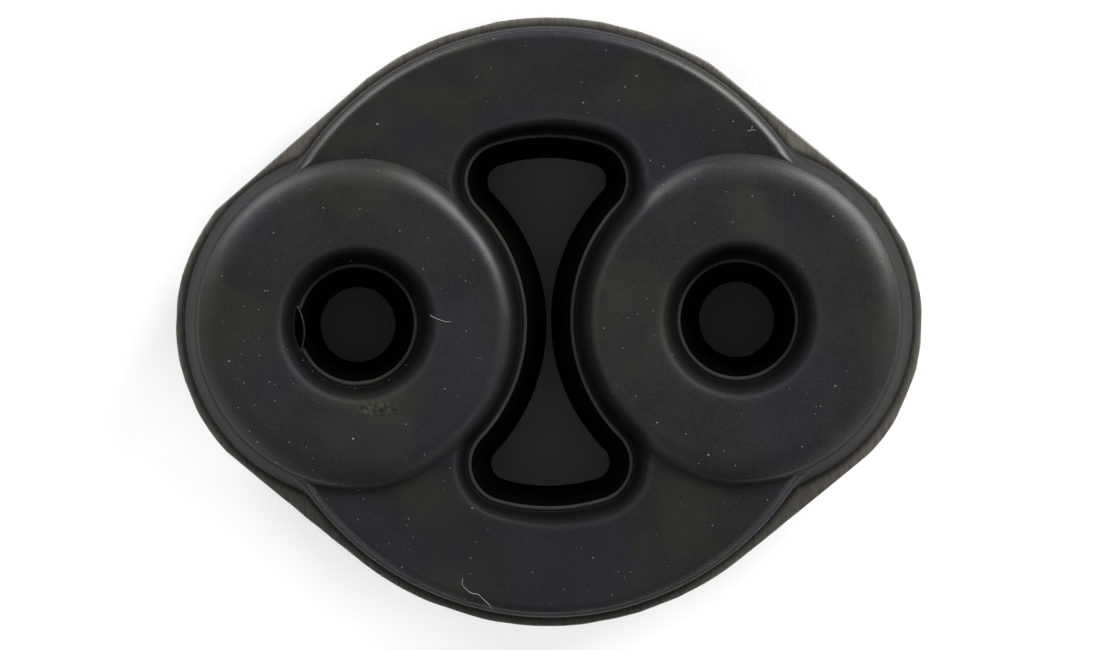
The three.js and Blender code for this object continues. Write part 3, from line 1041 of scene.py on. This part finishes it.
class HANGER_OT_lint(bpy.types.Operator):
    """Scatter the fibres and the largest grains of dust on the moulding"""

    bl_idname = "hanger.lint"
    bl_label = "Lint and Dust"

    def execute(self, context):
        scene = context.scene
        wear = scene.hanger_wear
        bm = bmesh.new()
        bm.from_mesh(bpy.data.objects["moulding"].data)
        surface = BVHTree.FromBMesh(bm)
        bm.free()
        pale = plain_material("lint", scene.hanger_finish.lint, 0.8)
        for made in (fibres(surface, wear), grains(surface, wear)):
            made.data.shade_smooth()
            made.data.materials.append(pale)
            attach(made, BODY)
        return {"FINISHED"}


class HANGER_OT_stage(bpy.types.Operator):
    """Lay the pale floor, hang the softboxes and set up the camera"""

    bl_idname = "hanger.stage"
    bl_label = "Stage"

    def execute(self, context):
        scene = context.scene
        stage, finish = scene.hanger_stage, scene.hanger_finish
        bm = bmesh.new()
        bmesh.ops.create_grid(bm, x_segments=4, y_segments=4, size=4)
        floor = new_object(bm, "floor")
        floor.data.materials.append(plain_material("pale_floor", finish.floor, 0.7))

        for name, azimuth, elevation, part in SOFTBOXES:
            softbox(name, azimuth, elevation, LIGHT_DISTANCE, SOFTBOX_SIZE, stage.light * part)
        washed = bpy.data.collections.new("washed_floor")
        washed.objects.link(floor)
        for azimuth in WASHER_AZIMUTHS:
            name = f"floor_washer_{azimuth}"
            washer = softbox(name, azimuth, WASHER_ELEVATION, LIGHT_DISTANCE, WASHER_SIZE, stage.wash)
            washer.light_linking.receiver_collection = washed
        scene.world = room_light(stage.room, stage.backdrop)
        scene.view_settings.view_transform = "Standard"

        lens = bpy.data.cameras.new("camera")
        lens.lens = stage.lens
        camera = bpy.data.objects.new("camera", lens)
        scene.collection.objects.link(camera)
        distance = stage.framed * stage.lens / lens.sensor_width
        camera.location = (stage.aim_x, stage.aim_y, distance + 0.75 * CAD_HIGH.z)
        camera.rotation_euler = (0, 0, stage.roll)
        lens.clip_end = 2 * distance
        scene.camera = camera
        return {"FINISHED"}


class HANGER_PT_sidebar(bpy.types.Panel):
    """Sizes, finish and steps of the hanger"""

    bl_label = "Exhaust Hanger"
    bl_space_type = "VIEW_3D"
    bl_region_type = "UI"
    bl_category = "Hanger"

    def draw(self, context):
        for name, group in GROUPS.items():
            settings = getattr(context.scene, name)
            box = self.layout.box()
            for key in group.__annotations__:
                box.prop(settings, key)
        for operator in STEPS:
            self.layout.operator(operator.bl_idname)


GROUPS = {
    "hanger_form": HangerForm,
    "hanger_wear": HangerWear,
    "hanger_finish": HangerFinish,
    "hanger_stage": StageSettings,
}
STEPS = (HANGER_OT_moulding, HANGER_OT_torn_lip, HANGER_OT_lint, HANGER_OT_stage)
CLASSES = (*GROUPS.values(), *STEPS, HANGER_PT_sidebar)


def register():
    for cls in CLASSES:
        bpy.utils.register_class(cls)
    for name, group in GROUPS.items():
        setattr(bpy.types.Scene, name, bpy.props.PointerProperty(type=group))


def unregister():
    for name in GROUPS:
        delattr(bpy.types.Scene, name)
    for cls in reversed(CLASSES):
        bpy.utils.unregister_class(cls)


def main():
    """Builds every piece and the stage."""
    register()
    bpy.ops.hanger.moulding()
    bpy.ops.hanger.torn_lip()
    bpy.ops.hanger.lint()
    bpy.ops.hanger.stage()


if __name__ == "__main__":
    main()
